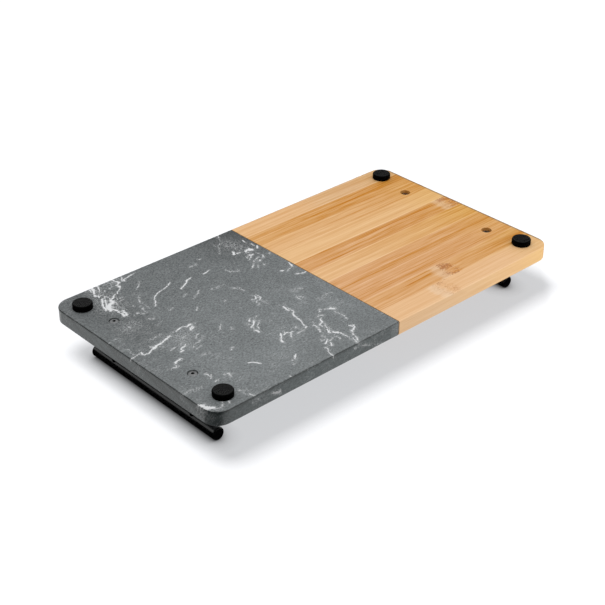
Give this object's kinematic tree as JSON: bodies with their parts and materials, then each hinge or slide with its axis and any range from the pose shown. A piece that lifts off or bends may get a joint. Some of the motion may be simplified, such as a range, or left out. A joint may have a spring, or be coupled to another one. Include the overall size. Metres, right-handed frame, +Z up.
{
  "type": "serving board",
  "caption": "Rectangular serving board, half dark veined marble and half laminated bamboo, with a raised bar handle at each end and rubber feet underneath.",
  "frame": {"origin": "centre of the board's outline on the plane that its feet stand on", "axes": "+X along the board from the marble end to the bamboo end, +Y across it, +Z up towards the handles"},
  "size_m": [0.364, 0.2, 0.05],
  "materials": {
    "marble": "satin",
    "bamboo": "satin",
    "dowel": "matte",
    "black_metal": "satin",
    "screw_steel": "satin",
    "rubber": "matte",
    "adhesive": "matte"
  },
  "bodies": {
    "root": {"marble_slab": "marble", "bamboo_strip_1": "bamboo", "bamboo_strip_2": "bamboo", "bamboo_strip_3": "bamboo", "bamboo_strip_4": "bamboo", "bamboo_strip_5": "bamboo", "bamboo_strip_6": "bamboo", "bamboo_strip_7": "bamboo", "bamboo_strip_8": "bamboo", "bamboo_strip_9": "bamboo", "bamboo_strip_10": "bamboo", "joint_dowel_1": "dowel", "joint_dowel_2": "dowel", "joint_dowel_3": "dowel", "joint_dowel_4": "dowel", "handle_bar_marble": "black_metal", "handle_bar_bamboo": "black_metal", "handle_post_marble_front": "black_metal", "handle_post_marble_back": "black_metal", "handle_post_bamboo_front": "black_metal", "handle_post_bamboo_back": "black_metal", "handle_screw_marble_front": "screw_steel", "handle_screw_marble_back": "screw_steel", "handle_screw_bamboo_front": "screw_steel", "handle_screw_bamboo_back": "screw_steel", "rubber_foot_marble_front": "rubber", "rubber_foot_marble_back": "rubber", "rubber_foot_bamboo_front": "rubber", "rubber_foot_bamboo_back": "rubber", "foot_adhesive_marble_front": "adhesive", "foot_adhesive_marble_back": "adhesive", "foot_adhesive_bamboo_front": "adhesive", "foot_adhesive_bamboo_back": "adhesive"}
  },
  "joints": []
}
